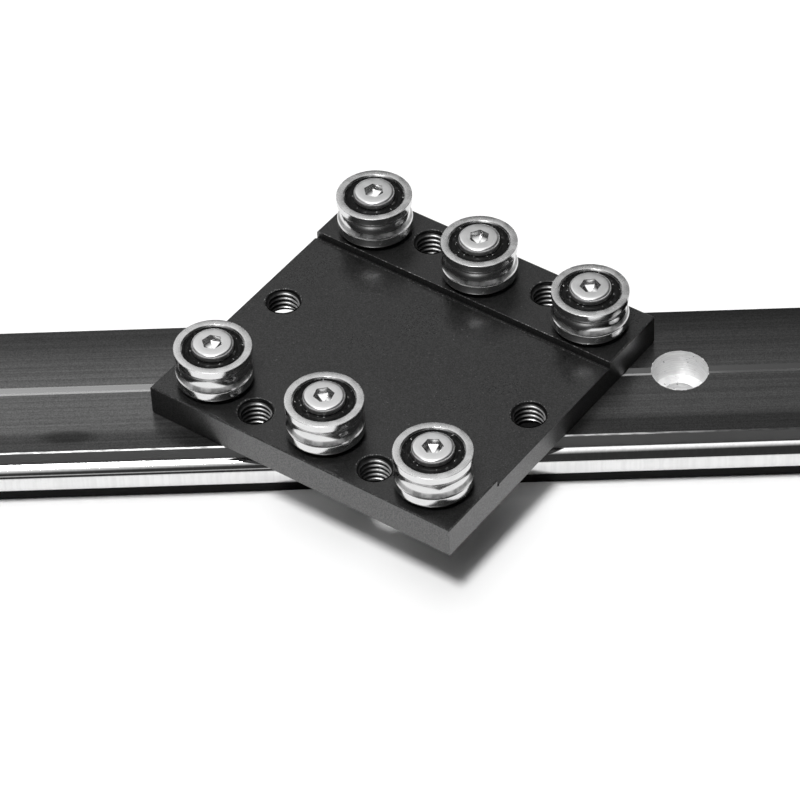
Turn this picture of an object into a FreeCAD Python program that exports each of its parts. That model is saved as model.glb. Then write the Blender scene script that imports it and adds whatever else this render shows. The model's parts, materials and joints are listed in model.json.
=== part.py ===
import FreeCAD, Part
import math
import os

# A roller guide rail with its carriage laid on it upside down and askew, as the photograph shows it.
# Millimetres. X runs along the rail, Z is up, the origin is the middle of the rail's underside.

# Rail
RAIL_LENGTH = 240.0
RAIL_WIDTH = 29.4
RAIL_HEIGHT = 10.7
RAIL_EDGE = 0.2
CENTRE_GROOVE_WIDTH = 1.8
CENTRE_GROOVE_DEPTH = 0.4
RAIL_HOLE_PITCH = 60.0
RAIL_HOLE_COUNT = 4
RAIL_BOLT_HOLE = 5.5
COUNTERBORE = 9.5
COUNTERBORE_DEPTH = 5.4

# Guide shafts, held in the sides of the rail by grooves that wrap more than half of them
SHAFT_DIAMETER = 6.0
SHAFT_HEIGHT = 5.2
SHAFT_SPREAD = 27.4
SHAFT_CLEARANCE = 0.02
SHAFT_END_CHAMFER = 0.4

# Carriage plate
PLATE_LENGTH = 60.0
PLATE_WIDTH = 60.0
PLATE_THICKNESS = 5.8
PLATE_EDGE = 0.2
RECESS_DEPTH = 1.2
RECESS_SIDE_CLEARANCE = 1.8
RELIEF_WIDTH = 0.5
RELIEF_DEPTH = 0.3

# M6 load holes, bored at the nominal thread size
TAPPED_HOLE = 6.0
TAPPED_HOLE_CHAMFER = 0.25
FACE_CHAMFER = 0.4
TAPPED_HOLE_MARGIN = 5.0
FLANGE_HOLE_SPREAD = 24.0

# Track rollers with a U groove that fits the shaft
ROLLER_DIAMETER = 13.0
ROLLER_WIDTH = 6.0
GROOVE_RADIUS = 3.05
GROOVE_DEPTH = 0.52
ROLLER_EDGE = 0.2
AXLE_END_MARGIN = 8.0
ROLLER_GAP = 1.5

# The middle axle of each row, measured off the middle of its row
FRONT_MIDDLE_SHIFT = 0.6
REAR_MIDDLE_SHIFT = -0.3

# Inside a roller
BALL_DIAMETER = 1.9
BALL_COUNT = 6
BALL_CLEARANCE = 0.03
BALL_CIRCLE = 8.2
RACE_WIDTH = 2.4
SHOULDER = 0.25
INNER_RING_DIAMETER = 6.4
INNER_RING_INSET = 0.3
CAGE_WALL = 0.7
CAGE_WIDTH = 3.0
CAGE_CLEARANCE = 0.08
SEAL_SEAT_DIAMETER = 10.1
SEAL_INSET = 0.45
SEAL_THICKNESS = 0.5
SEAL_LIP_CLEARANCE = 0.06
SEAL_SEAT_CHAMFER = 0.25

# M4 axle bolts with a low head
AXLE_DIAMETER = 4.0
AXLE_CLEARANCE = 0.02
AXLE_TIP_INSET = 0.3
HEAD_DIAMETER = 7.0
HEAD_HEIGHT = 1.3
HEAD_CHAMFER = 0.5
HEX_ACROSS_FLATS = 3.0
HEX_DEPTH = 1.7

# Where the carriage lies on the rail
CARRIAGE_X = -15.8
CARRIAGE_Y = 0.6
CARRIAGE_TURN = -36.1

# In use the recess straddles the rail's top
RECESS_WIDTH = RAIL_WIDTH + 2 * RECESS_SIDE_CLEARANCE

# The roller rows are as far apart as the shafts and the groove's root make them
GROOVE_ROOT = ROLLER_DIAMETER / 2 - GROOVE_DEPTH
ROW_SPREAD = SHAFT_SPREAD + SHAFT_DIAMETER + 2 * GROOVE_ROOT
ROLLER_PITCH = PLATE_LENGTH / 2 - AXLE_END_MARGIN

ROLLER_PLACES = {
    "front_left": (-ROLLER_PITCH, -ROW_SPREAD / 2),
    "front_middle": (FRONT_MIDDLE_SHIFT, -ROW_SPREAD / 2),
    "front_right": (ROLLER_PITCH, -ROW_SPREAD / 2),
    "rear_left": (-ROLLER_PITCH, ROW_SPREAD / 2),
    "rear_middle": (REAR_MIDDLE_SHIFT, ROW_SPREAD / 2),
    "rear_right": (ROLLER_PITCH, ROW_SPREAD / 2),
}


def vec(x=0.0, y=0.0, z=0.0):
    return FreeCAD.Vector(x, y, z)


def on_carriage(shape):
    """Take a shape from the plate's own frame, flat face at zero height, to where the carriage lies."""
    turn = FreeCAD.Rotation(vec(z=1), CARRIAGE_TURN)
    middle = vec(CARRIAGE_X, CARRIAGE_Y, RAIL_HEIGHT)
    shape.Placement = FreeCAD.Placement(middle, turn).multiply(shape.Placement)
    return shape


def on_axle(shape, place):
    """Take a shape from a roller's own frame, lower face at zero height, to its axle on the carriage."""
    u, v = ROLLER_PLACES[place]
    shape.translate(vec(u, v, PLATE_THICKNESS + ROLLER_GAP))
    return on_carriage(shape)


def lines(points):
    return [Part.makeLine(a, b) for a, b in zip(points, points[1:])]


def face(edges):
    return Part.Face(Part.Wire(Part.__sortEdges__(edges)))


def revolved(edges):
    return face(edges).revolve(vec(), vec(z=1), 360)


def turned(profile):
    """A turned solid from its (radius, height) points."""
    points = [vec(r, 0, z) for r, z in profile]
    return revolved(lines(points + points[:1]))


def tube(outer_radius, inner_radius, low, high):
    return turned([(inner_radius, low), (outer_radius, low), (outer_radius, high), (inner_radius, high)])


def rod(radius, low, high, x=0.0, y=0.0):
    return Part.makeCylinder(radius, high - low, vec(x, y, low))


def rail_side(side):
    """One side of the rail's outline, from its underside up and round the shaft's groove to its top."""
    half = RAIL_WIDTH / 2
    axis = SHAFT_SPREAD / 2
    radius = SHAFT_DIAMETER / 2 + SHAFT_CLEARANCE
    lip = math.sqrt(radius**2 - (half - axis) ** 2)

    def at(y, z):
        return vec(0, side * y, z)

    low_lip = at(half, SHAFT_HEIGHT - lip)
    high_lip = at(half, SHAFT_HEIGHT + lip)
    below = lines([at(0, 0), at(half - RAIL_EDGE, 0), at(half, RAIL_EDGE), low_lip])
    groove = Part.Arc(low_lip, at(axis - radius, SHAFT_HEIGHT), high_lip).toShape()
    above = lines([
        high_lip,
        at(half, RAIL_HEIGHT - RAIL_EDGE),
        at(half - RAIL_EDGE, RAIL_HEIGHT),
        at(CENTRE_GROOVE_WIDTH / 2, RAIL_HEIGHT),
        at(0, RAIL_HEIGHT - CENTRE_GROOVE_DEPTH),
    ])
    return below + [groove] + above


def rail_extrusion():
    section = face(rail_side(1) + rail_side(-1))
    section.translate(vec(x=-RAIL_LENGTH / 2))
    rail = section.extrude(vec(x=RAIL_LENGTH))
    first = -RAIL_HOLE_PITCH * (RAIL_HOLE_COUNT - 1) / 2
    for number in range(RAIL_HOLE_COUNT):
        x = first + number * RAIL_HOLE_PITCH
        hole = rod(RAIL_BOLT_HOLE / 2, -1, RAIL_HEIGHT, x)
        sunk = rod(COUNTERBORE / 2, RAIL_HEIGHT - COUNTERBORE_DEPTH, RAIL_HEIGHT + 1, x)
        rail = rail.cut(hole.fuse(sunk))
    return rail


def guide_shaft(side):
    radius = SHAFT_DIAMETER / 2
    ends = SHAFT_END_CHAMFER
    half = RAIL_LENGTH / 2
    shaft = turned([
        (0, -half),
        (radius - ends, -half),
        (radius, -half + ends),
        (radius, half - ends),
        (radius - ends, half),
        (0, half),
    ])
    shaft.rotate(vec(), vec(y=1), 90)
    shaft.translate(vec(0, side * SHAFT_SPREAD / 2, SHAFT_HEIGHT))
    return shaft


def plate_blank():
    """The plate's cross-section along the rows, with its recess and the reliefs at the recess's feet."""
    half = PLATE_WIDTH / 2
    wall = RECESS_WIDTH / 2
    floor = PLATE_THICKNESS - RECESS_DEPTH
    right = [
        (half - PLATE_EDGE, 0),
        (half, PLATE_EDGE),
        (half, PLATE_THICKNESS - PLATE_EDGE),
        (half - PLATE_EDGE, PLATE_THICKNESS),
        (wall, PLATE_THICKNESS),
        (wall, floor - RELIEF_DEPTH),
        (wall - RELIEF_WIDTH, floor - RELIEF_DEPTH),
        (wall - RELIEF_WIDTH, floor),
    ]
    left = [(-v, z) for v, z in reversed(right)]
    outline = [vec(-PLATE_LENGTH / 2, v, z) for v, z in right + left + right[:1]]
    return face(lines(outline)).extrude(vec(x=PLATE_LENGTH))


def end_bevels():
    """A block with the plate's length and bevelled ends, to bevel the blank's ends."""
    half = PLATE_LENGTH / 2
    outline = [
        (half - PLATE_EDGE, 0),
        (half, PLATE_EDGE),
        (half, PLATE_THICKNESS - PLATE_EDGE),
        (half - PLATE_EDGE, PLATE_THICKNESS),
        (PLATE_EDGE - half, PLATE_THICKNESS),
        (-half, PLATE_THICKNESS - PLATE_EDGE),
        (-half, PLATE_EDGE),
        (PLATE_EDGE - half, 0),
    ]
    points = [vec(u, -PLATE_WIDTH / 2, z) for u, z in outline + outline[:1]]
    return face(lines(points)).extrude(vec(y=PLATE_WIDTH))


def tapped_hole(u, v, top):
    """The cutter of a load hole, chamfered at both mouths, deeper at the flat face that takes the load."""
    radius = TAPPED_HOLE / 2
    hole = turned([
        (0, 0),
        (radius + FACE_CHAMFER, 0),
        (radius, FACE_CHAMFER),
        (radius, top - TAPPED_HOLE_CHAMFER),
        (radius + TAPPED_HOLE_CHAMFER, top),
        (0, top),
    ])
    hole.translate(vec(u, v))
    return hole


def carriage_plate():
    plate = plate_blank().common(end_bevels())
    floor = PLATE_THICKNESS - RECESS_DEPTH
    recess_hole = PLATE_LENGTH / 2 - TAPPED_HOLE_MARGIN
    flange_hole = PLATE_WIDTH / 2 - TAPPED_HOLE_MARGIN
    for side in (-1, 1):
        plate = plate.cut(tapped_hole(side * recess_hole, 0, floor))
        for row in (-1, 1):
            plate = plate.cut(tapped_hole(side * FLANGE_HOLE_SPREAD / 2, row * flange_hole, PLATE_THICKNESS))
    for u, v in ROLLER_PLACES.values():
        plate = plate.cut(rod(AXLE_DIAMETER / 2, -1, PLATE_THICKNESS + 1, u, v))
    return on_carriage(plate)


def outer_ring():
    """The grooved tyre of a roller, with its ball race and a seat for a seal at each end."""
    rim = ROLLER_DIAMETER / 2
    middle = ROLLER_WIDTH / 2
    seat = SEAL_SEAT_DIAMETER / 2
    seat_depth = SEAL_INSET + SEAL_THICKNESS
    race = BALL_CIRCLE / 2 + BALL_DIAMETER / 2 + BALL_CLEARANCE
    shoulder = race - SHOULDER
    reach = math.sqrt(GROOVE_RADIUS**2 - (GROOVE_RADIUS - GROOVE_DEPTH) ** 2)

    def half(way):
        """The outline of the half above or below the middle, from the groove's edge to the race."""
        return [
            (rim, middle + way * reach),
            (rim, middle + way * (middle - ROLLER_EDGE)),
            (rim - ROLLER_EDGE, middle + way * middle),
            (seat + SEAL_SEAT_CHAMFER, middle + way * middle),
            (seat, middle + way * (middle - SEAL_SEAT_CHAMFER)),
            (seat, middle + way * (middle - seat_depth)),
            (shoulder, middle + way * (middle - seat_depth)),
            (shoulder, middle + way * RACE_WIDTH / 2),
            (race, middle + way * RACE_WIDTH / 2),
        ]

    outline = half(1) + half(-1)[::-1]
    points = [vec(r, 0, z) for r, z in outline]
    groove = Part.Arc(points[-1], vec(GROOVE_ROOT, 0, middle), points[0]).toShape()
    return revolved(lines(points) + [groove])


def inner_ring():
    """The ring that the axle bolt clamps, with the balls' inner race between its shoulders."""
    bore = AXLE_DIAMETER / 2
    shoulder = INNER_RING_DIAMETER / 2
    race = BALL_CIRCLE / 2 - BALL_DIAMETER / 2 - BALL_CLEARANCE
    middle = ROLLER_WIDTH / 2
    low = INNER_RING_INSET
    high = ROLLER_WIDTH - INNER_RING_INSET
    return turned([
        (bore, low),
        (shoulder, low),
        (shoulder, middle - RACE_WIDTH / 2),
        (race, middle - RACE_WIDTH / 2),
        (race, middle + RACE_WIDTH / 2),
        (shoulder, middle + RACE_WIDTH / 2),
        (shoulder, high),
        (bore, high),
    ])


def seal(low):
    lip = INNER_RING_DIAMETER / 2 + SEAL_LIP_CLEARANCE
    return tube(SEAL_SEAT_DIAMETER / 2, lip, low, low + SEAL_THICKNESS)


def upper_seal():
    return seal(ROLLER_WIDTH - SEAL_INSET - SEAL_THICKNESS)


def lower_seal():
    return seal(SEAL_INSET)


def ball_places():
    for number in range(BALL_COUNT):
        angle = 2 * math.pi * number / BALL_COUNT
        yield vec(BALL_CIRCLE / 2 * math.cos(angle), BALL_CIRCLE / 2 * math.sin(angle), ROLLER_WIDTH / 2)


def balls():
    return Part.makeCompound([Part.makeSphere(BALL_DIAMETER / 2, place) for place in ball_places()])


def cage():
    """The ribbon that keeps the balls apart, with a round pocket for each."""
    middle = ROLLER_WIDTH / 2
    outer = (BALL_CIRCLE + CAGE_WALL) / 2
    ribbon = tube(outer, outer - CAGE_WALL, middle - CAGE_WIDTH / 2, middle + CAGE_WIDTH / 2)
    pocket = BALL_DIAMETER / 2 + CAGE_CLEARANCE
    for place in ball_places():
        outward = vec(place.x, place.y)
        start = vec(z=middle) + outward * 0.5
        ribbon = ribbon.cut(Part.makeCylinder(pocket, BALL_CIRCLE / 2, start, outward))
    return ribbon


def axle_bolt():
    """The bolt that holds a roller, with a hexagon socket in its low head and its thread in the plate."""
    shank = AXLE_DIAMETER / 2 - AXLE_CLEARANCE
    head = HEAD_DIAMETER / 2
    seat = ROLLER_WIDTH - INNER_RING_INSET
    top = seat + HEAD_HEIGHT
    tip = AXLE_TIP_INSET - PLATE_THICKNESS - ROLLER_GAP
    bolt = turned([
        (0, tip),
        (shank, tip),
        (shank, seat),
        (head, seat),
        (head, top - HEAD_CHAMFER),
        (head - HEAD_CHAMFER, top),
        (0, top),
    ])
    corner = HEX_ACROSS_FLATS / math.sqrt(3)
    corners = []
    for number in range(7):
        angle = math.pi * number / 3
        corners.append(vec(corner * math.cos(angle), corner * math.sin(angle), top - HEX_DEPTH))
    return bolt.cut(face(lines(corners)).extrude(vec(z=HEX_DEPTH + 1)))


def spacer():
    """The washer between the plate and the inner ring, which keeps the tyre off the plate."""
    bore = AXLE_DIAMETER / 2
    return tube(INNER_RING_DIAMETER / 2, bore, -ROLLER_GAP, INNER_RING_INSET)


ROLLER_PIECES = {
    "outer_ring": outer_ring,
    "upper_seal": upper_seal,
    "lower_seal": lower_seal,
    "balls": balls,
    "cage": cage,
    "inner_ring": inner_ring,
    "axle_bolt": axle_bolt,
    "spacer": spacer,
}


def write(name, shape):
    shape.exportStep(os.path.join("parts", name + ".step"))


def main():
    os.makedirs("parts", exist_ok=True)
    write("rail_extrusion", rail_extrusion())
    write("front_shaft", guide_shaft(-1))
    write("rear_shaft", guide_shaft(1))
    write("carriage_plate", carriage_plate())
    for place in ROLLER_PLACES:
        for piece, make in ROLLER_PIECES.items():
            write(f"{place}_{piece}", on_axle(make(), place))


main()
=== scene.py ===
import json
import math

import bmesh
import bpy
from mathutils import Matrix, Vector


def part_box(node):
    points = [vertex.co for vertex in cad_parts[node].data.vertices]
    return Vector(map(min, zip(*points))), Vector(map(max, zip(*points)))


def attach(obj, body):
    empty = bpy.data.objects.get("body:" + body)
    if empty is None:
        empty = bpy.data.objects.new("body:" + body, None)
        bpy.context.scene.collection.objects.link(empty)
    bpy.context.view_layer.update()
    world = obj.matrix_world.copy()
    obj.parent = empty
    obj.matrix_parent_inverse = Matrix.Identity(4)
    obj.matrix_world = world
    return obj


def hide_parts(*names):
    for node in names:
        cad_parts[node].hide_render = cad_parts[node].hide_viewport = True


# A roller guide rail with its carriage lying on it upside down, as a product photograph shows it.
# Metres in the CAD's frame: X along the rail, Z up. Profiles and sizes are given in millimetres.

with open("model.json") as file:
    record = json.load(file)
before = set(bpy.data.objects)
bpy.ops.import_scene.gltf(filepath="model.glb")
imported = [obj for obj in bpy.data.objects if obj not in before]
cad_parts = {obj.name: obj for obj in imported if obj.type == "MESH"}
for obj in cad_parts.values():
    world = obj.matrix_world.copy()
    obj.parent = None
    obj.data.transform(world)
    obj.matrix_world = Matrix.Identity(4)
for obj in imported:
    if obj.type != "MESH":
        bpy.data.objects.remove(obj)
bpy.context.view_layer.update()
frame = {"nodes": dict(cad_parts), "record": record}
MM = 0.001

# Sizes of the CAD's plate and rail that the finishes follow, in millimetres and degrees
PLATE_SIZE = 60.0
RECESS_WIDTH = 33.0
CENTRE_GROOVE = 1.8
COUNTERBORE = 9.5
RAIL_HOLE_PITCH = 60.0
PLATE_TURN = -36.1

plate_low, plate_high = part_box("carriage_plate")
PLATE_MIDDLE = (plate_low + plate_high) / 2

PLACES = ("front_left", "front_middle", "front_right", "rear_left", "rear_middle", "rear_right")

# How far each bolt's hexagon socket is turned, in degrees, as bolts stop anywhere
HEX_TURNS = {
    "front_left": 12,
    "front_middle": 40,
    "front_right": 26,
    "rear_left": 8,
    "rear_middle": 52,
    "rear_right": 33,
}


# Mesh helpers

def corner_arc(before, corner, after, radius, steps=6):
    """The points that round a profile's corner with a small radius."""
    a, b, c = Vector(before), Vector(corner), Vector(after)
    u, v = (a - b).normalized(), (c - b).normalized()
    half = u.angle(v) / 2
    reach = min(radius / math.tan(half), (a - b).length * 0.49, (c - b).length * 0.49)
    start, end = b + u * reach, b + v * reach
    points = []
    for i in range(steps + 1):
        t = i / steps
        points.append(start * (1 - t) ** 2 + b * 2 * t * (1 - t) + end * t**2)
    return [tuple(p) for p in points]


def rounded(profile, closed=True):
    """A profile of (radius, height, corner radius) turned into plain points, with its corners rounded."""
    points = []
    count = len(profile)
    for i, (r, z, fillet) in enumerate(profile):
        ends = not closed and i in (0, count - 1)
        if fillet == 0 or ends:
            points.append((r, z))
        else:
            before, after = profile[i - 1], profile[(i + 1) % count]
            points += corner_arc(before[:2], (r, z), after[:2], fillet)
    return points


def finish_mesh(name, bm, sharp=32):
    """Turn a bmesh in millimetres into an object, smooth except at its sharp edges."""
    bmesh.ops.recalc_face_normals(bm, faces=bm.faces)
    bmesh.ops.scale(bm, vec=(MM, MM, MM), verts=bm.verts)
    for f in bm.faces:
        f.smooth = True
    for e in bm.edges:
        if len(e.link_faces) == 2:
            e.smooth = e.calc_face_angle(0) < math.radians(sharp)
    mesh = bpy.data.meshes.new(name)
    bm.to_mesh(mesh)
    bm.free()
    piece = bpy.data.objects.new(name, mesh)
    bpy.context.scene.collection.objects.link(piece)
    normals = piece.modifiers.new("face_normals", "WEIGHTED_NORMAL")
    normals.keep_sharp = True
    normals.weight = 100
    return piece


def ring_of(bm, radius, z, segments):
    """A level ring of vertices about Z, or a single one on the axis."""
    if radius == 0:
        return [bm.verts.new((0, 0, z))]
    angles = [2 * math.pi / segments * i for i in range(segments)]
    return [bm.verts.new((radius * math.cos(a), radius * math.sin(a), z)) for a in angles]


def bridge(bm, low, high):
    """Join two rings of vertices, either of which may be a single one on the axis."""
    count = max(len(low), len(high))
    for i in range(count):
        j = (i + 1) % count
        corners = [low[i % len(low)], low[j % len(low)], high[j % len(high)], high[i % len(high)]]
        unique = []
        for v in corners:
            if v not in unique:
                unique.append(v)
        bm.faces.new(unique)


def lathe(name, points, segments=128, closed=True):
    """An object turned about Z from an outline of (radius, height) points in millimetres."""
    bm = bmesh.new()
    rings = [ring_of(bm, r, z, segments) for r, z in points]
    for a, b in zip(rings, rings[1:]):
        bridge(bm, a, b)
    if closed:
        bridge(bm, rings[-1], rings[0])
    return finish_mesh(name, bm)


def place_at(piece, x, y, z, turn=0.0):
    """Move a piece to a place in metres, turned about Z by some degrees."""
    piece.matrix_world = Matrix.Translation((x, y, z)) @ Matrix.Rotation(math.radians(turn), 4, "Z")


# Material helpers

class Nodes:
    """Short calls for the nodes of a tree."""

    def __init__(self, tree, coordinates):
        self.tree = tree
        self.coords = self.tree.nodes.new("ShaderNodeTexCoord").outputs[coordinates]

    def node(self, kind, inputs=(), **settings):
        n = self.tree.nodes.new("ShaderNode" + kind)
        for key, value in settings.items():
            setattr(n, key, value)
        for key, value in dict(inputs).items():
            socket = n.inputs[key]
            if isinstance(value, bpy.types.NodeSocket):
                self.tree.links.new(value, socket)
            else:
                socket.default_value = value
        return n

    def math(self, operation, a, b=0.0, c=0.0):
        return self.node("Math", {0: a, 1: b, 2: c}, operation=operation).outputs[0]

    def stretch(self, scale, vector=None):
        """The coordinates, scaled."""
        inputs = {"Vector": vector or self.coords, "Scale": scale}
        return self.node("Mapping", inputs).outputs[0]

    def noise(self, scale, detail=3.0, vector=None, roughness=0.5):
        """A cloudy noise from about 0.3 to 0.7, with as many features to the metre as its scale says."""
        inputs = {"Vector": vector or self.coords, "Scale": scale, "Detail": detail, "Roughness": roughness}
        return self.node("TexNoise", inputs).outputs["Fac"]

    def parts(self, vector=None):
        return self.node("SeparateXYZ", {0: vector or self.coords}).outputs

    def ramp(self, value, low, high, to_low=0.0, to_high=1.0, smooth=True):
        """The value carried from one range to another and held at its ends."""
        inputs = {"Value": value, "From Min": low, "From Max": high, "To Min": to_low, "To Max": to_high}
        kind = "SMOOTHSTEP" if smooth else "LINEAR"
        return self.node("MapRange", inputs, interpolation_type=kind).outputs[0]

    def mix(self, share, a, b):
        n = self.node("Mix", {"Factor": share}, data_type="RGBA")
        for socket, value in ((n.inputs[6], a), (n.inputs[7], b)):
            if isinstance(value, bpy.types.NodeSocket):
                self.tree.links.new(value, socket)
            else:
                socket.default_value = (*value, 1) if len(value) == 3 else value
        return n.outputs[2]

    def grey(self, value):
        return self.node("CombineColor", {0: value, 1: value, 2: value}).outputs[0]

    def add(self, *terms):
        total = terms[0]
        for term in terms[1:]:
            total = self.math("ADD", total, term)
        return total

    def times(self, *factors):
        product = factors[0]
        for factor in factors[1:]:
            product = self.math("MULTIPLY", product, factor)
        return product

    def most(self, *values):
        """The largest of the values."""
        largest = values[0]
        for value in values[1:]:
            largest = self.math("MAXIMUM", largest, value)
        return largest

    def length(self, a, b):
        """How far the point (a, b) is from the origin."""
        return self.math("SQRT", self.add(self.math("POWER", a, 2.0), self.math("POWER", b, 2.0)))

    def between(self, value, low, high):
        """One where the value is between two limits."""
        return self.times(self.math("GREATER_THAN", value, low), self.math("LESS_THAN", value, high))


class Shader(Nodes):
    """A node material with one Principled shader."""

    def __init__(self, name, **values):
        self.material = bpy.data.materials.new(name)
        self.material.use_nodes = True
        super().__init__(self.material.node_tree, "Object")
        self.bsdf = self.tree.nodes["Principled BSDF"]
        for key, value in values.items():
            self.bsdf.inputs[key.replace("_", " ")].default_value = value

    def feed(self, **sockets):
        """Link values to the shader's sockets, named with a line where the socket's name has a space."""
        for key, value in sockets.items():
            self.tree.links.new(value, self.bsdf.inputs[key.replace("_", " ")])

    def bump(self, height, distance, strength=1.0, normal=None):
        inputs = {"Height": height, "Distance": distance, "Strength": strength}
        if normal:
            inputs["Normal"] = normal
        return self.node("Bump", inputs).outputs[0]


def slope(s):
    """How level a face is: one on a level face, zero on an upright one."""
    return s.math("ABSOLUTE", s.parts(s.node("NewGeometry").outputs["True Normal"])["Z"])


def plate_finish():
    """Black anodising over a fine blasted grain, with painted glints, as bright bare dots, along the
    machined edges.
    """
    s = Shader("black_anodised_plate", IOR=1.52)
    level = slope(s)
    grain = s.noise(5200, 2)
    cloud = s.noise(60, 3)
    specks = s.ramp(s.noise(2600, 1), 0.7, 0.8)
    base = s.add(s.ramp(grain, 0.35, 0.65, 0.0, 0.023), s.times(specks, 0.05))

    # Along and across the rows of rollers, in metres from the plate's middle
    half = PLATE_SIZE / 2
    here = s.parts()
    turn = math.radians(PLATE_TURN)
    off_x = s.math("SUBTRACT", here["X"], PLATE_MIDDLE.x)
    off_y = s.math("SUBTRACT", here["Y"], PLATE_MIDDLE.y)
    across = s.add(s.times(off_x, -math.sin(turn)), s.times(off_y, math.cos(turn)))
    along = s.add(s.times(off_x, math.cos(turn)), s.times(off_y, math.sin(turn)))
    outward = s.most(s.math("ABSOLUTE", along), s.math("ABSOLUTE", across))

    # Painted glints, as bright bare dots, on the chamfers, those of the holes more than the plate's own, and
    # on its upright corners
    side = s.math("LESS_THAN", level, 0.3)
    chamfer = s.between(level, 0.45, 0.75)
    facets = s.times(chamfer, s.ramp(outward, (half - 0.6) * MM, (half - 0.4) * MM, 0.5, 0.12))
    facing = s.parts(s.node("NewGeometry").outputs["True Normal"])
    facing_across = s.add(s.times(facing["X"], -math.sin(turn)), s.times(facing["Y"], math.cos(turn)))
    corner = s.between(s.math("ABSOLUTE", facing_across), 0.3, 0.9)
    upright = s.times(side, corner, s.math("GREATER_THAN", outward, (half - 0.6) * MM))

    # Painted highlights also on the rear step's upper edge and, more faintly, along a line by its foot
    wall = RECESS_WIDTH / 2
    top = s.math("GREATER_THAN", level, 0.9)
    step_edge = s.times(top, s.between(across, (wall - 0.02) * MM, (wall + 0.14) * MM))
    foot_edge = s.times(top, s.between(across, (wall - 0.66) * MM, (wall - 0.5) * MM), 0.3)
    edges = s.most(facets, upright, step_edge, foot_edge)
    sparkle = s.times(edges, s.ramp(s.noise(3800, 2), 0.52, 0.7, 0.03, 0.9))

    shine = s.most(s.times(side, 0.95), s.times(sparkle, 0.8))
    base = s.add(base, s.times(chamfer, 0.015))
    flat_side = s.grey(s.ramp(s.noise(4200, 2), 0.3, 0.7, 0.1, 0.17))
    colour = s.mix(sparkle, s.mix(side, s.grey(base), flat_side), (0.75, 0.75, 0.75))
    rough = s.add(s.ramp(cloud, 0.3, 0.7, 0.25, 0.29), s.times(grain, 0.06), s.times(side, 0.03))
    normal = s.bump(grain, 0.00001, 1.0)
    s.feed(Base_Color=colour, Roughness=rough, Metallic=shine, Normal=normal)
    return s.material


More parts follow.
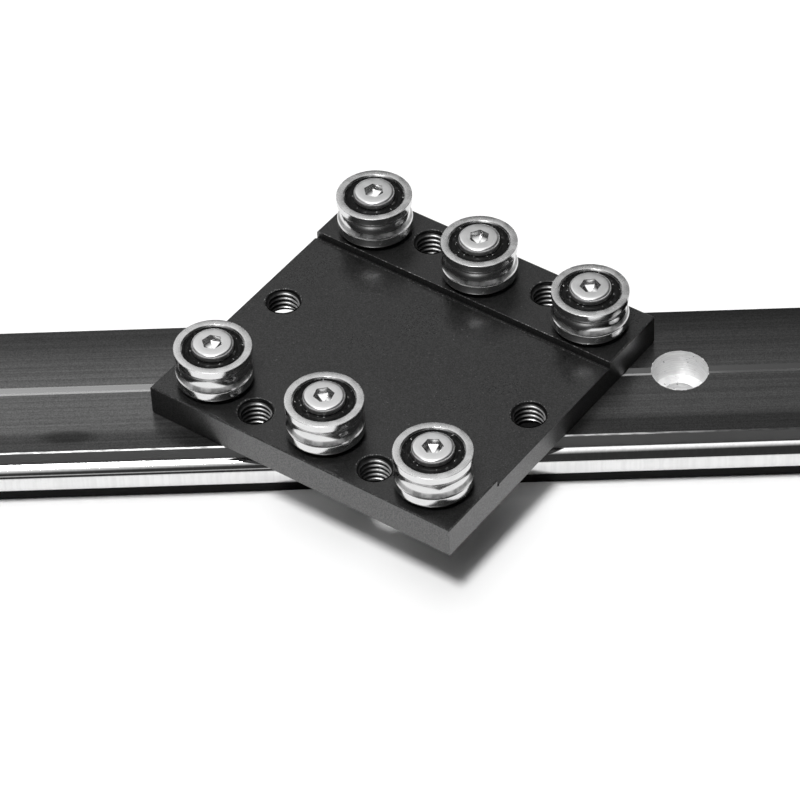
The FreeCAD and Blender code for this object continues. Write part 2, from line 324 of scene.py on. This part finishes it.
def rail_finish():
    """Black anodised extrusion with lengthwise die lines, and bright bare metal in its counterbores."""
    s = Shader("black_anodised_rail", Anisotropic=0.7)
    around = s.node("Tangent", direction_type="RADIAL", axis="X").outputs[0]
    here = s.parts()
    x, y, z = here["X"], here["Y"], here["Z"]
    level = slope(s)
    streaks = s.noise(1, 4, s.stretch((12, 2300, 2300)), 0.6)
    fine = s.noise(1, 2, s.stretch((50, 8000, 8000)), 0.6)
    cloud = s.noise(45, 3)
    wander = s.times(s.math("SUBTRACT", s.noise(1, 2, s.stretch((20, 200, 200))), 0.5), 0.0006)
    y_wander = s.add(y, wander)

    # The top's colour is darker towards both edges, and painted brighter to the left as a reflection of the
    # brighter light on that side, with a grain and a dark spot
    back = s.ramp(y_wander, 0.002, 0.0128, 1.0, 0.42, smooth=False)
    front = s.ramp(y_wander, -0.0092, -0.0116, 1.0, 0.5)
    film_and_painted_light = s.add(s.ramp(streaks, 0.3, 0.7, 0.078, 0.104), s.ramp(fine, 0.45, 0.8, 0.0, 0.02))
    film_and_painted_light = s.times(film_and_painted_light, back, front, s.ramp(x, -0.06, 0.04, 1.22, 0.92))
    film_and_painted_light = s.times(film_and_painted_light, s.ramp(s.noise(5000, 2), 0.3, 0.7, 0.78, 1.22))
    spot_x, spot_y, spot_squash = -0.0715, -0.0112, 0.34
    from_spot = s.length(s.times(s.add(x, -spot_x), spot_squash), s.add(y, -spot_y))
    film_and_painted_light = s.times(film_and_painted_light, s.ramp(s.add(from_spot, wander), 0.0008, 0.0022, 0.5, 1.0))
    # Painted shade: the upright sides are darker towards the bottom, under the shafts
    upright = s.math("LESS_THAN", level, 0.3)
    film_and_painted_light = s.mix(upright, s.grey(film_and_painted_light), s.grey(s.ramp(z, 0.0055, 0.0078, 0.01, 0.07)))

    # Painted highlights: bright lines on the centre groove's front wall and along the front edge, fading out
    # to the right, away from the light on the left; the groove's walls are also painted a little lighter to
    # the left
    painted_shading = s.ramp(x, 0.045, 0.015)
    in_groove = s.math("LESS_THAN", s.math("ABSOLUTE", y), CENTRE_GROOVE / 2 * MM)
    groove = s.times(in_groove, s.between(level, 0.5, 0.97))
    film_and_painted_light = s.mix(groove, film_and_painted_light, s.grey(s.ramp(x, 0.015, 0.045, 0.06, 0.049)))
    front_wall = s.times(groove, s.math("LESS_THAN", y, 0.0))
    facets = s.between(level, 0.45, 0.75)
    broken = s.ramp(s.noise(1, 2, s.stretch((500, 3000, 3000))), 0.35, 0.6, 0.4, 1.0)
    edge = s.times(facets, broken, s.ramp(painted_shading, 0.0, 1.0, 0.09, 0.7), s.math("LESS_THAN", y, 0.0))
    edge = s.most(edge, s.times(front_wall, s.ramp(painted_shading, 0.0, 1.0, 0.08, 0.65)))

    # Bare metal inside the counterbores, with a ragged edge in the anodising round their mouths
    off_x = s.math("PINGPONG", s.add(x, RAIL_HOLE_PITCH / 2 * MM), RAIL_HOLE_PITCH / 2 * MM)
    distance = s.length(off_x, y)
    chips = s.ramp(s.noise(1300, 3), 0.5, 0.75, 0.0, 0.00016)
    bare = s.math("LESS_THAN", distance, s.add(chips, (COUNTERBORE / 2 + 0.02) * MM))
    turning = s.math("SINE", s.times(s.math("SUBTRACT", z, distance), 16000.0))
    scratch = s.noise(1, 3, s.stretch((300, 300, 7000)))
    pits = s.ramp(s.noise(1900, 2), 0.66, 0.74)
    metal = s.times(s.ramp(scratch, 0.3, 0.7, 0.78, 0.98), s.ramp(pits, 0.0, 1.0, 1.0, 0.25))
    colour = s.mix(bare, s.mix(edge, film_and_painted_light, (0.85, 0.85, 0.85)), s.grey(metal))
    rough = s.add(s.ramp(cloud, 0.3, 0.7, 0.24, 0.28), s.times(streaks, 0.08))
    rough = s.most(rough, s.times(bare, 0.38))
    metallic = s.math("SUBTRACT", s.ramp(bare, 0.0, 1.0, 1.0, 0.45), s.times(front_wall, 0.9))
    lines = s.bump(streaks, 0.000006, 0.6)
    rings = s.bump(turning, 0.00003, s.times(bare, 0.6), lines)
    s.feed(Base_Color=colour, Roughness=rough, Metallic=metallic, Normal=rings, Tangent=around)
    return s.material


def chrome_finish():
    """Ground and hard-chromed shaft, nearly a mirror, with a trace of lengthwise wear."""
    s = Shader("shaft_chrome", Metallic=1.0)
    wear = s.noise(1, 3, s.stretch((30, 1500, 1500)))
    s.feed(
        Base_Color=s.grey(s.ramp(wear, 0.3, 0.7, 0.78, 0.86)),
        Roughness=s.ramp(wear, 0.3, 0.8, 0.02, 0.06),
        Normal=s.bump(wear, 0.000004, 0.4),
    )
    return s.material


def turned_steel(name, light, dark, low, high, ring_scale=16000.0, ring_depth=0.000006, painted_shading=False):
    """Steel with fine turned rings about its axis, in greys from dark to light, as rough as low to high.

    Asked for, it also gets painted shading: a darker band on its roller's lower groove flank, a painted dark
    reflection with a mottle, and a painted shade on its underside.
    """
    s = Shader(name, Metallic=1.0)
    p = s.parts()
    ring_inputs = {"W": s.times(s.length(p["X"], p["Y"]), ring_scale), "Scale": 1.0, "Detail": 3.0}
    rings = s.node("TexNoise", ring_inputs, noise_dimensions="1D").outputs["Fac"]
    stain = s.noise(560, 4)
    grit = s.noise(5200, 2)
    base = s.ramp(s.add(s.times(rings, 0.5), s.times(stain, 0.5)), 0.32, 0.68, dark, light)
    rough = s.add(s.ramp(stain, 0.3, 0.7, low, high), s.times(grit, 0.05))
    if painted_shading:
        # Painted dark reflection on the lower groove flank, with a mottle, and painted shade below the ring
        flank = s.times(s.ramp(p["Z"], 0.0025, 0.0021), s.ramp(p["Z"], 0.0014, 0.0017))
        mottle = s.noise(700, 4)
        rough = s.add(rough, s.times(flank, s.ramp(mottle, 0.3, 0.7, 0.14, 0.24)))
        base = s.times(base, s.ramp(flank, 0.0, 1.0, 1.0, s.ramp(mottle, 0.35, 0.65, 0.3, 0.62)))
        base = s.times(base, s.ramp(p["Z"], -0.0004, -0.0001, 0.35, 1.0))
    normal = s.bump(rings, ring_depth, 0.5, s.bump(grit, 0.000005, 0.3))
    s.feed(Base_Color=s.grey(base), Roughness=rough, Normal=normal)
    return s.material


def rubber_finish():
    """Black seal rubber with a dusting of pale grit."""
    s = Shader("seal_rubber", Roughness=0.5, IOR=1.22)
    grain = s.noise(3200, 3)
    fluff = s.times(s.ramp(s.noise(900, 3), 0.6, 0.75), 0.12)
    dust = s.most(s.ramp(s.noise(2600, 2), 0.69, 0.74), fluff)
    s.feed(
        Base_Color=s.mix(dust, s.grey(s.ramp(grain, 0.3, 0.7, 0.002, 0.01)), (0.7, 0.7, 0.7)),
        Normal=s.bump(grain, 0.00003, 0.6),
    )
    return s.material


def nylon_finish():
    """Pale natural nylon of the ball cages."""
    s = Shader("cage_nylon", Roughness=0.45)
    tone = s.noise(500, 3)
    s.feed(Base_Color=s.mix(tone, (0.5, 0.45, 0.36), (0.62, 0.57, 0.47)), Normal=s.bump(tone, 0.00002, 0.4))
    return s.material


def floor_finish():
    """White paper that the camera sees a little lighter, so that it burns out as in the photograph."""
    s = Shader("white_paper", Roughness=0.9, IOR=1.3)
    paper = s.ramp(s.noise(14, 3), 0.3, 0.7, 0.92, 0.94)
    seen = s.node("LightPath").outputs["Is Camera Ray"]
    s.feed(Base_Color=s.grey(s.times(paper, s.ramp(seen, 0.0, 1.0, 1.0, 1.12))))
    return s.material


PLATE = plate_finish()
RAIL = rail_finish()
CHROME = chrome_finish()
TYRE = turned_steel("tyre_steel", 0.78, 0.44, 0.17, 0.27)
POLISHED = turned_steel("groove_steel", 0.82, 0.72, 0.1, 0.16, 9000.0, 0.000003, painted_shading=True)
HEAD = turned_steel("bolt_steel", 0.82, 0.7, 0.26, 0.34)
RUBBER = rubber_finish()
NYLON = nylon_finish()


def dress(piece, *materials):
    """Give a piece these materials in place of those that it has."""
    piece.data.materials.clear()
    for m in materials:
        piece.data.materials.append(m)


# The CAD's own pieces that keep their shape

dress(frame["nodes"]["carriage_plate"], PLATE)
dress(frame["nodes"]["rail_extrusion"], RAIL)
for spot in PLACES:
    dress(frame["nodes"][f"{spot}_lower_seal"], RUBBER)
    dress(frame["nodes"][f"{spot}_cage"], NYLON)
    dress(frame["nodes"][f"{spot}_balls"], POLISHED)
    dress(frame["nodes"][f"{spot}_inner_ring"], TYRE)
    dress(frame["nodes"][f"{spot}_spacer"], HEAD)


# Guide shafts

def guide_shaft(node, name):
    """A ground shaft with rounded end chamfers, lying along X where the CAD has it."""
    low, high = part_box(node)
    middle = (low + high) / 2
    half = (high.x - low.x) / 2 / MM
    radius = (high.z - low.z) / 2 / MM
    chamfer, edge = 0.4, 0.1
    profile = [
        (0, -half, 0),
        (radius - chamfer, -half, edge),
        (radius, chamfer - half, edge),
        (radius, half - chamfer, edge),
        (radius - chamfer, half, edge),
        (0, half, 0),
    ]
    shaft = lathe(name, rounded(profile, closed=False), 160, closed=False)
    shaft.matrix_world = Matrix.Translation(middle) @ Matrix.Rotation(math.pi / 2, 4, "Y")
    dress(shaft, CHROME)
    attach(shaft, "rail")
    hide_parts(node)


guide_shaft("front_shaft", "front_guide_shaft")
guide_shaft("rear_shaft", "rear_guide_shaft")


# Rollers

# How far the rollers' rounded lower rims reach below the CAD's, in millimetres
LOW_RIM = 0.6

# Inside an outer ring, in millimetres: its bore, the ball track in it, and the seats of its seals
BORE = 4.83
TRACK = 5.08
TRACK_HALF_WIDTH = 1.2
SEAT = 5.05
SEAT_DEPTH = 0.95
SEAT_CHAMFER = 0.25


def tyre_points(width, rim, groove=3.05, depth=0.52, steps=12):
    """The outline of a roller's outer ring: rounded rims, a U groove, and seats for the seals."""
    middle = width / 2
    reach = math.sqrt(groove**2 - (groove - depth) ** 2)

    # The groove's arc stops short of its corners, which are rounded
    spread = math.asin(reach / groove) * 0.94
    arc = []
    for i in range(2 * steps + 1):
        a = spread * (i / steps - 1)
        arc.append((rim - depth + groove * (1 - math.cos(a)), middle + groove * math.sin(a), 0))

    upper = [
        (rim, middle + reach, 0.2),
        (rim, width, 0.09),
        (SEAT + SEAT_CHAMFER, width, 0.05),
        (SEAT, width - SEAT_CHAMFER, 0.05),
        (SEAT, width - SEAT_DEPTH, 0),
        (BORE, width - SEAT_DEPTH, 0),
        (BORE, middle + TRACK_HALF_WIDTH, 0),
        (TRACK, middle + TRACK_HALF_WIDTH, 0),
    ]
    lower = [
        (TRACK, middle - TRACK_HALF_WIDTH, 0),
        (BORE, middle - TRACK_HALF_WIDTH, 0),
        (BORE, SEAT_DEPTH, 0),
        (SEAT, SEAT_DEPTH, 0),
        (SEAT, SEAT_CHAMFER - LOW_RIM, 0.05),
        (SEAT + SEAT_CHAMFER, -LOW_RIM, 0.05),
        (rim, -LOW_RIM, 0.75),
        (rim, middle - reach, 0.8),
    ]
    return rounded(arc + upper + lower)


def seal_points(seal_top):
    """The outline of an upper seal: a flat rim, a sunk middle and a raised lip round the inner ring."""
    inner, outer, thickness = 3.27, SEAT - 0.01, 0.5
    sunk, lip = seal_top - 0.14, seal_top - 0.02
    return rounded([
        (inner, seal_top - thickness, 0.05),
        (outer, seal_top - thickness, 0.05),
        (outer, seal_top, 0.12),
        (4.8, seal_top, 0.06),
        (4.68, sunk, 0.08),
        (4.1, sunk, 0.1),
        (3.9, lip, 0.1),
        (3.45, lip, 0.1),
        (inner, seal_top - 0.2, 0.05),
    ])


def bolt(name, head, top, under, tip, flats=2.95, depth=1.15, segments=96):
    """A low-head bolt: plain shank, rounded upper edge, hexagon socket with a flared mouth and a cone."""
    shank, tip_radius, tip_chamfer = 1.98, 1.7, 0.3
    mouth_edge, mouth_flare, flare_depth, cone_depth = 2.1, 1.05, 0.08, 0.85
    head_points = [(shank, under, 0), (head, under, 0.05), (head, top, 0.55), (mouth_edge, top, 0)]
    outline = [(0, tip), (tip_radius, tip), (shank, tip + tip_chamfer)] + rounded(head_points, closed=False)
    bm = bmesh.new()
    rings = [ring_of(bm, r, z, segments) for r, z in outline]

    # The socket's wall is a hexagon, given by its distance from the axis in each direction
    mouth, socket_top, socket_foot = [], [], []
    for i in range(segments):
        a = 2 * math.pi * i / segments
        wall = flats / 2 / math.cos((a + math.pi / 6) % (math.pi / 3) - math.pi / 6)
        x, y = wall * math.cos(a), wall * math.sin(a)
        mouth.append(bm.verts.new((x * mouth_flare, y * mouth_flare, top)))
        socket_top.append(bm.verts.new((x, y, top - flare_depth)))
        socket_foot.append(bm.verts.new((x, y, top - depth)))
    rings += [mouth, socket_top, socket_foot, ring_of(bm, 0, top - depth - cone_depth, segments)]
    for a, b in zip(rings, rings[1:]):
        bridge(bm, a, b)
    return finish_mesh(name, bm)


def add_tyre(spot, place, width, rim):
    """An outer ring: its groove and rims are polished, its level faces and its inside only turned."""
    tyre = lathe(f"{spot}_tyre", tyre_points(width, rim), 160)
    dress(tyre, TYRE, POLISHED)
    polished_depth, level = 0.85, 0.8
    for f in tyre.data.polygons:
        out = math.hypot(f.center.x, f.center.y) / MM
        f.material_index = 1 if out > rim - polished_depth and abs(f.normal.z) < level else 0
    place_at(tyre, *place)
    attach(tyre, f"{spot}_roller")
    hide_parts(f"{spot}_outer_ring")


def add_seal(spot, place, width):
    """An upper seal, sunk into its ring, and turned so that no two show the same grit."""
    sink = 0.45
    seal = lathe(f"{spot}_top_seal", seal_points(width - sink), 128)
    dress(seal, RUBBER)
    place_at(seal, *place, HEX_TURNS[spot] * 3)
    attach(seal, f"{spot}_roller")
    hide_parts(f"{spot}_upper_seal")


def add_bolt(spot, place, width):
    """An axle bolt, as high and as deep as the CAD's, with a polished socket."""
    low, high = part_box(f"{spot}_axle_bolt")
    top, tip = (high.z - place[2]) / MM, (low.z - place[2]) / MM
    head_radius, head_under = 3.5, width - 0.3
    axle = bolt(f"{spot}_bolt", head_radius, top, head_under, tip)
    dress(axle, HEAD, POLISHED)
    socket_reach, socket_depth = 1.75, 2.2
    for f in axle.data.polygons:
        inside = math.hypot(f.center.x, f.center.y) < socket_reach * MM
        f.material_index = 1 if inside and f.center.z > (top - socket_depth) * MM else 0
    place_at(axle, *place, HEX_TURNS[spot])
    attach(axle, "carriage")
    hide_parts(f"{spot}_axle_bolt")


def roller(spot):
    """A track roller's outer ring, upper seal and axle bolt, in place of the CAD's."""
    low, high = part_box(f"{spot}_outer_ring")
    place = ((low.x + high.x) / 2, (low.y + high.y) / 2, low.z)
    width = (high.z - low.z) / MM
    rim = (high.x - low.x) / 2 / MM
    add_tyre(spot, place, width, rim)
    add_seal(spot, place, width)
    add_bolt(spot, place, width)


for spot in PLACES:
    roller(spot)


# Threads in the load holes

# The holes' chamfers in millimetres, at the recess's side and at the plate's flat face
TOP_CHAMFER = 0.25
FACE_CHAMFER = 0.4


def thread(name, x, y, low, high, pitch=1.0, major=2.97, minor=2.5):
    """The inside of an M6 thread between two heights, cut back at its mouths by the hole's chamfers."""
    bm = bmesh.new()
    per_turn, across = 60, 10
    crest_width, flank_width = 0.14, 0.62
    length = (high - low) / MM
    turns = length / pitch

    # The thread's shape over one pitch, as heights and radii
    shape = []
    for i in range(across):
        t = i / across
        outward = (abs(t - 0.5) * 2 - crest_width) / flank_width
        shape.append((t * pitch, minor + (major - minor) * min(1.0, max(0.0, outward))))

    # That shape led round and up, in rows that are joined where they are inside the hole
    rows = []
    for i in range(int((turns + 2) * per_turn)):
        a = 2 * math.pi * i / per_turn
        rise = pitch * i / per_turn - pitch
        row = []
        for dz, r in shape + [(pitch, shape[0][1])]:
            z = min(max(rise + dz, 0.0), length)
            cone = max(major + TOP_CHAMFER - (length - z), major + FACE_CHAMFER - z)
            reach = min(major, max(r, cone))
            row.append(bm.verts.new((reach * math.cos(a), reach * math.sin(a), z)))
        rows.append(row)
    for one, two in zip(rows, rows[1:]):
        for k in range(len(one) - 1):
            corners = [one[k], two[k], two[k + 1], one[k + 1]]
            if max(c.co.z for c in corners) - min(c.co.z for c in corners) > 1e-6:
                bm.faces.new(corners)
    bmesh.ops.delete(bm, geom=[v for v in bm.verts if not v.link_faces], context="VERTS")
    piece = finish_mesh(name, bm, 60)
    place_at(piece, x, y, low)
    dress(piece, THREAD)
    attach(piece, "carriage")


def thread_finish():
    """Black anodised thread flanks, with bare metal along their crests, brightest towards each hole's +X
    side as a painted highlight.
    """
    s = Shader("thread_anodised", IOR=1.4)
    tone = s.noise(2200, 2)
    p = s.parts()
    bare_crest_and_glint = s.times(s.ramp(s.length(p["X"], p["Y"]), 0.00272, 0.00262), s.ramp(tone, 0.3, 0.5, 0.6, 1.0))
    # Painted highlight: the crests are bright only towards each hole's +X side, where the light from the
    # left catches them
    bare_crest_and_glint = s.times(bare_crest_and_glint, s.ramp(p["X"], -0.0014, 0.001, 0.03, 0.9))
    s.feed(
        Base_Color=s.mix(bare_crest_and_glint, s.grey(s.ramp(tone, 0.35, 0.65, 0.002, 0.008)), (0.85, 0.85, 0.85)),
        Roughness=s.ramp(bare_crest_and_glint, 0.0, 1.0, 0.42, 0.36),
        Metallic=s.times(bare_crest_and_glint, 0.9),
        Normal=s.bump(tone, 0.00001, 0.4),
    )
    return s.material


THREAD = thread_finish()
for mount in frame["record"]["mounts"]:
    if mount["kind"] == "threaded_hole":
        hole_x, hole_y, hole_z = mount["pos_m"]
        half = mount["dims"]["length_mm"] / 2 * MM
        mouths = (hole_z - half - FACE_CHAMFER * MM, hole_z + half + TOP_CHAMFER * MM)
        thread(mount["name"] + "_thread", hole_x, hole_y, *mouths)


# Floor, light and camera

# From the floor's middle to its edges, in millimetres
FLOOR_REACH = 3000

floor_mesh = bmesh.new()
bmesh.ops.create_grid(floor_mesh, x_segments=1, y_segments=1, size=FLOOR_REACH)
floor = finish_mesh("floor", floor_mesh)
dress(floor, floor_finish())


def key_light(x, elevation, half_angle, radiance, distance=3.0):
    """A round softbox over the part's front: its sideways tilt, its elevation and half angle in degrees."""
    light = bpy.data.lights.new("key", "AREA")
    light.shape = "DISK"
    light.size = 2 * distance * math.tan(math.radians(half_angle))
    light.energy = radiance * math.pi * math.pi * (light.size / 2) ** 2
    lamp = bpy.data.objects.new("key", light)
    e = math.radians(elevation)
    way = Vector((x, -math.cos(e), math.sin(e))).normalized()
    lamp.matrix_world = Matrix.Translation(way * distance) @ way.to_track_quat("Z", "Y").to_matrix().to_4x4()
    bpy.context.scene.collection.objects.link(lamp)


key_light(x=-0.158, elevation=70.6, half_angle=6.0, radiance=66.0)


def studio():
    """A dim room with a soft ceiling, a pale band along the horizon and a narrow strip on its left."""
    world = bpy.data.worlds.new("studio")
    bpy.context.scene.world = world
    world.use_nodes = True
    s = Nodes(world.node_tree, "Generated")
    way = s.parts()
    x, height = way["X"], way["Z"]
    backward = s.times(way["Y"], -1.0)

    # Degrees from the horizon in front up over the part; the ceiling's two edges run askew
    climb = s.times(s.math("ARCTAN2", height, backward), 180 / math.pi)
    front_edge = s.math("MINIMUM", s.math("MAXIMUM", s.math("MULTIPLY_ADD", x, 100.0, 63.5), 50.0), 80.0)
    back_edge = s.math("MULTIPLY_ADD", x, -42.0, 137.0)
    ceiling = s.times(
        s.ramp(s.math("SUBTRACT", climb, front_edge), -18.0, 18.0),
        s.ramp(s.math("SUBTRACT", climb, back_edge), 9.0, -9.0),
        s.ramp(s.math("ABSOLUTE", s.add(x, 0.05)), 0.55, 0.2),
        1.35,
    )
    horizon = s.times(s.ramp(height, 0.13, 0.09), 0.85)
    strip = s.times(s.between(climb, 20.0, 26.0), s.ramp(x, 0.02, -0.04), 0.45)
    light = s.most(ceiling, horizon, strip, 0.035)

    # The camera itself sees plain white instead
    room = world.node_tree.nodes["Background"]
    s.tree.links.new(s.grey(light), room.inputs["Color"])
    white = s.node("Background", {"Color": (1, 1, 1, 1)})
    seen = s.node("LightPath").outputs["Is Camera Ray"]
    blend = s.node("MixShader", {0: seen, 1: room.outputs[0], 2: white.outputs[0]})
    s.tree.links.new(blend.outputs[0], world.node_tree.nodes["World Output"].inputs["Surface"])


studio()

# The camera looks down on the carriage from the front, a little to the right of it
AZIMUTH, ELEVATION, ROLL = -1.055, 43.68, -2.589
TARGET = Vector((-0.016715, -0.004535, 0.0103))
DISTANCE = 0.6414
LENS, SENSOR = 173.97, 36

camera_data = bpy.data.cameras.new("camera")
camera_data.lens = LENS
camera_data.sensor_width = SENSOR
camera = bpy.data.objects.new("camera", camera_data)
bpy.context.scene.collection.objects.link(camera)
az, el, roll = (math.radians(v) for v in (AZIMUTH, ELEVATION, ROLL))
forward = Vector((math.sin(az) * math.cos(el), math.cos(az) * math.cos(el), -math.sin(el)))
level = Vector((math.cos(az), -math.sin(az), 0))
upward = level.cross(forward)
right = level * math.cos(roll) + upward * math.sin(roll)
up = upward * math.cos(roll) - level * math.sin(roll)
turn = Matrix((right, up, -forward)).transposed().to_4x4()
camera.matrix_world = Matrix.Translation(TARGET - forward * DISTANCE) @ turn
bpy.context.scene.camera = camera
bpy.context.scene.view_settings.view_transform = "Standard"
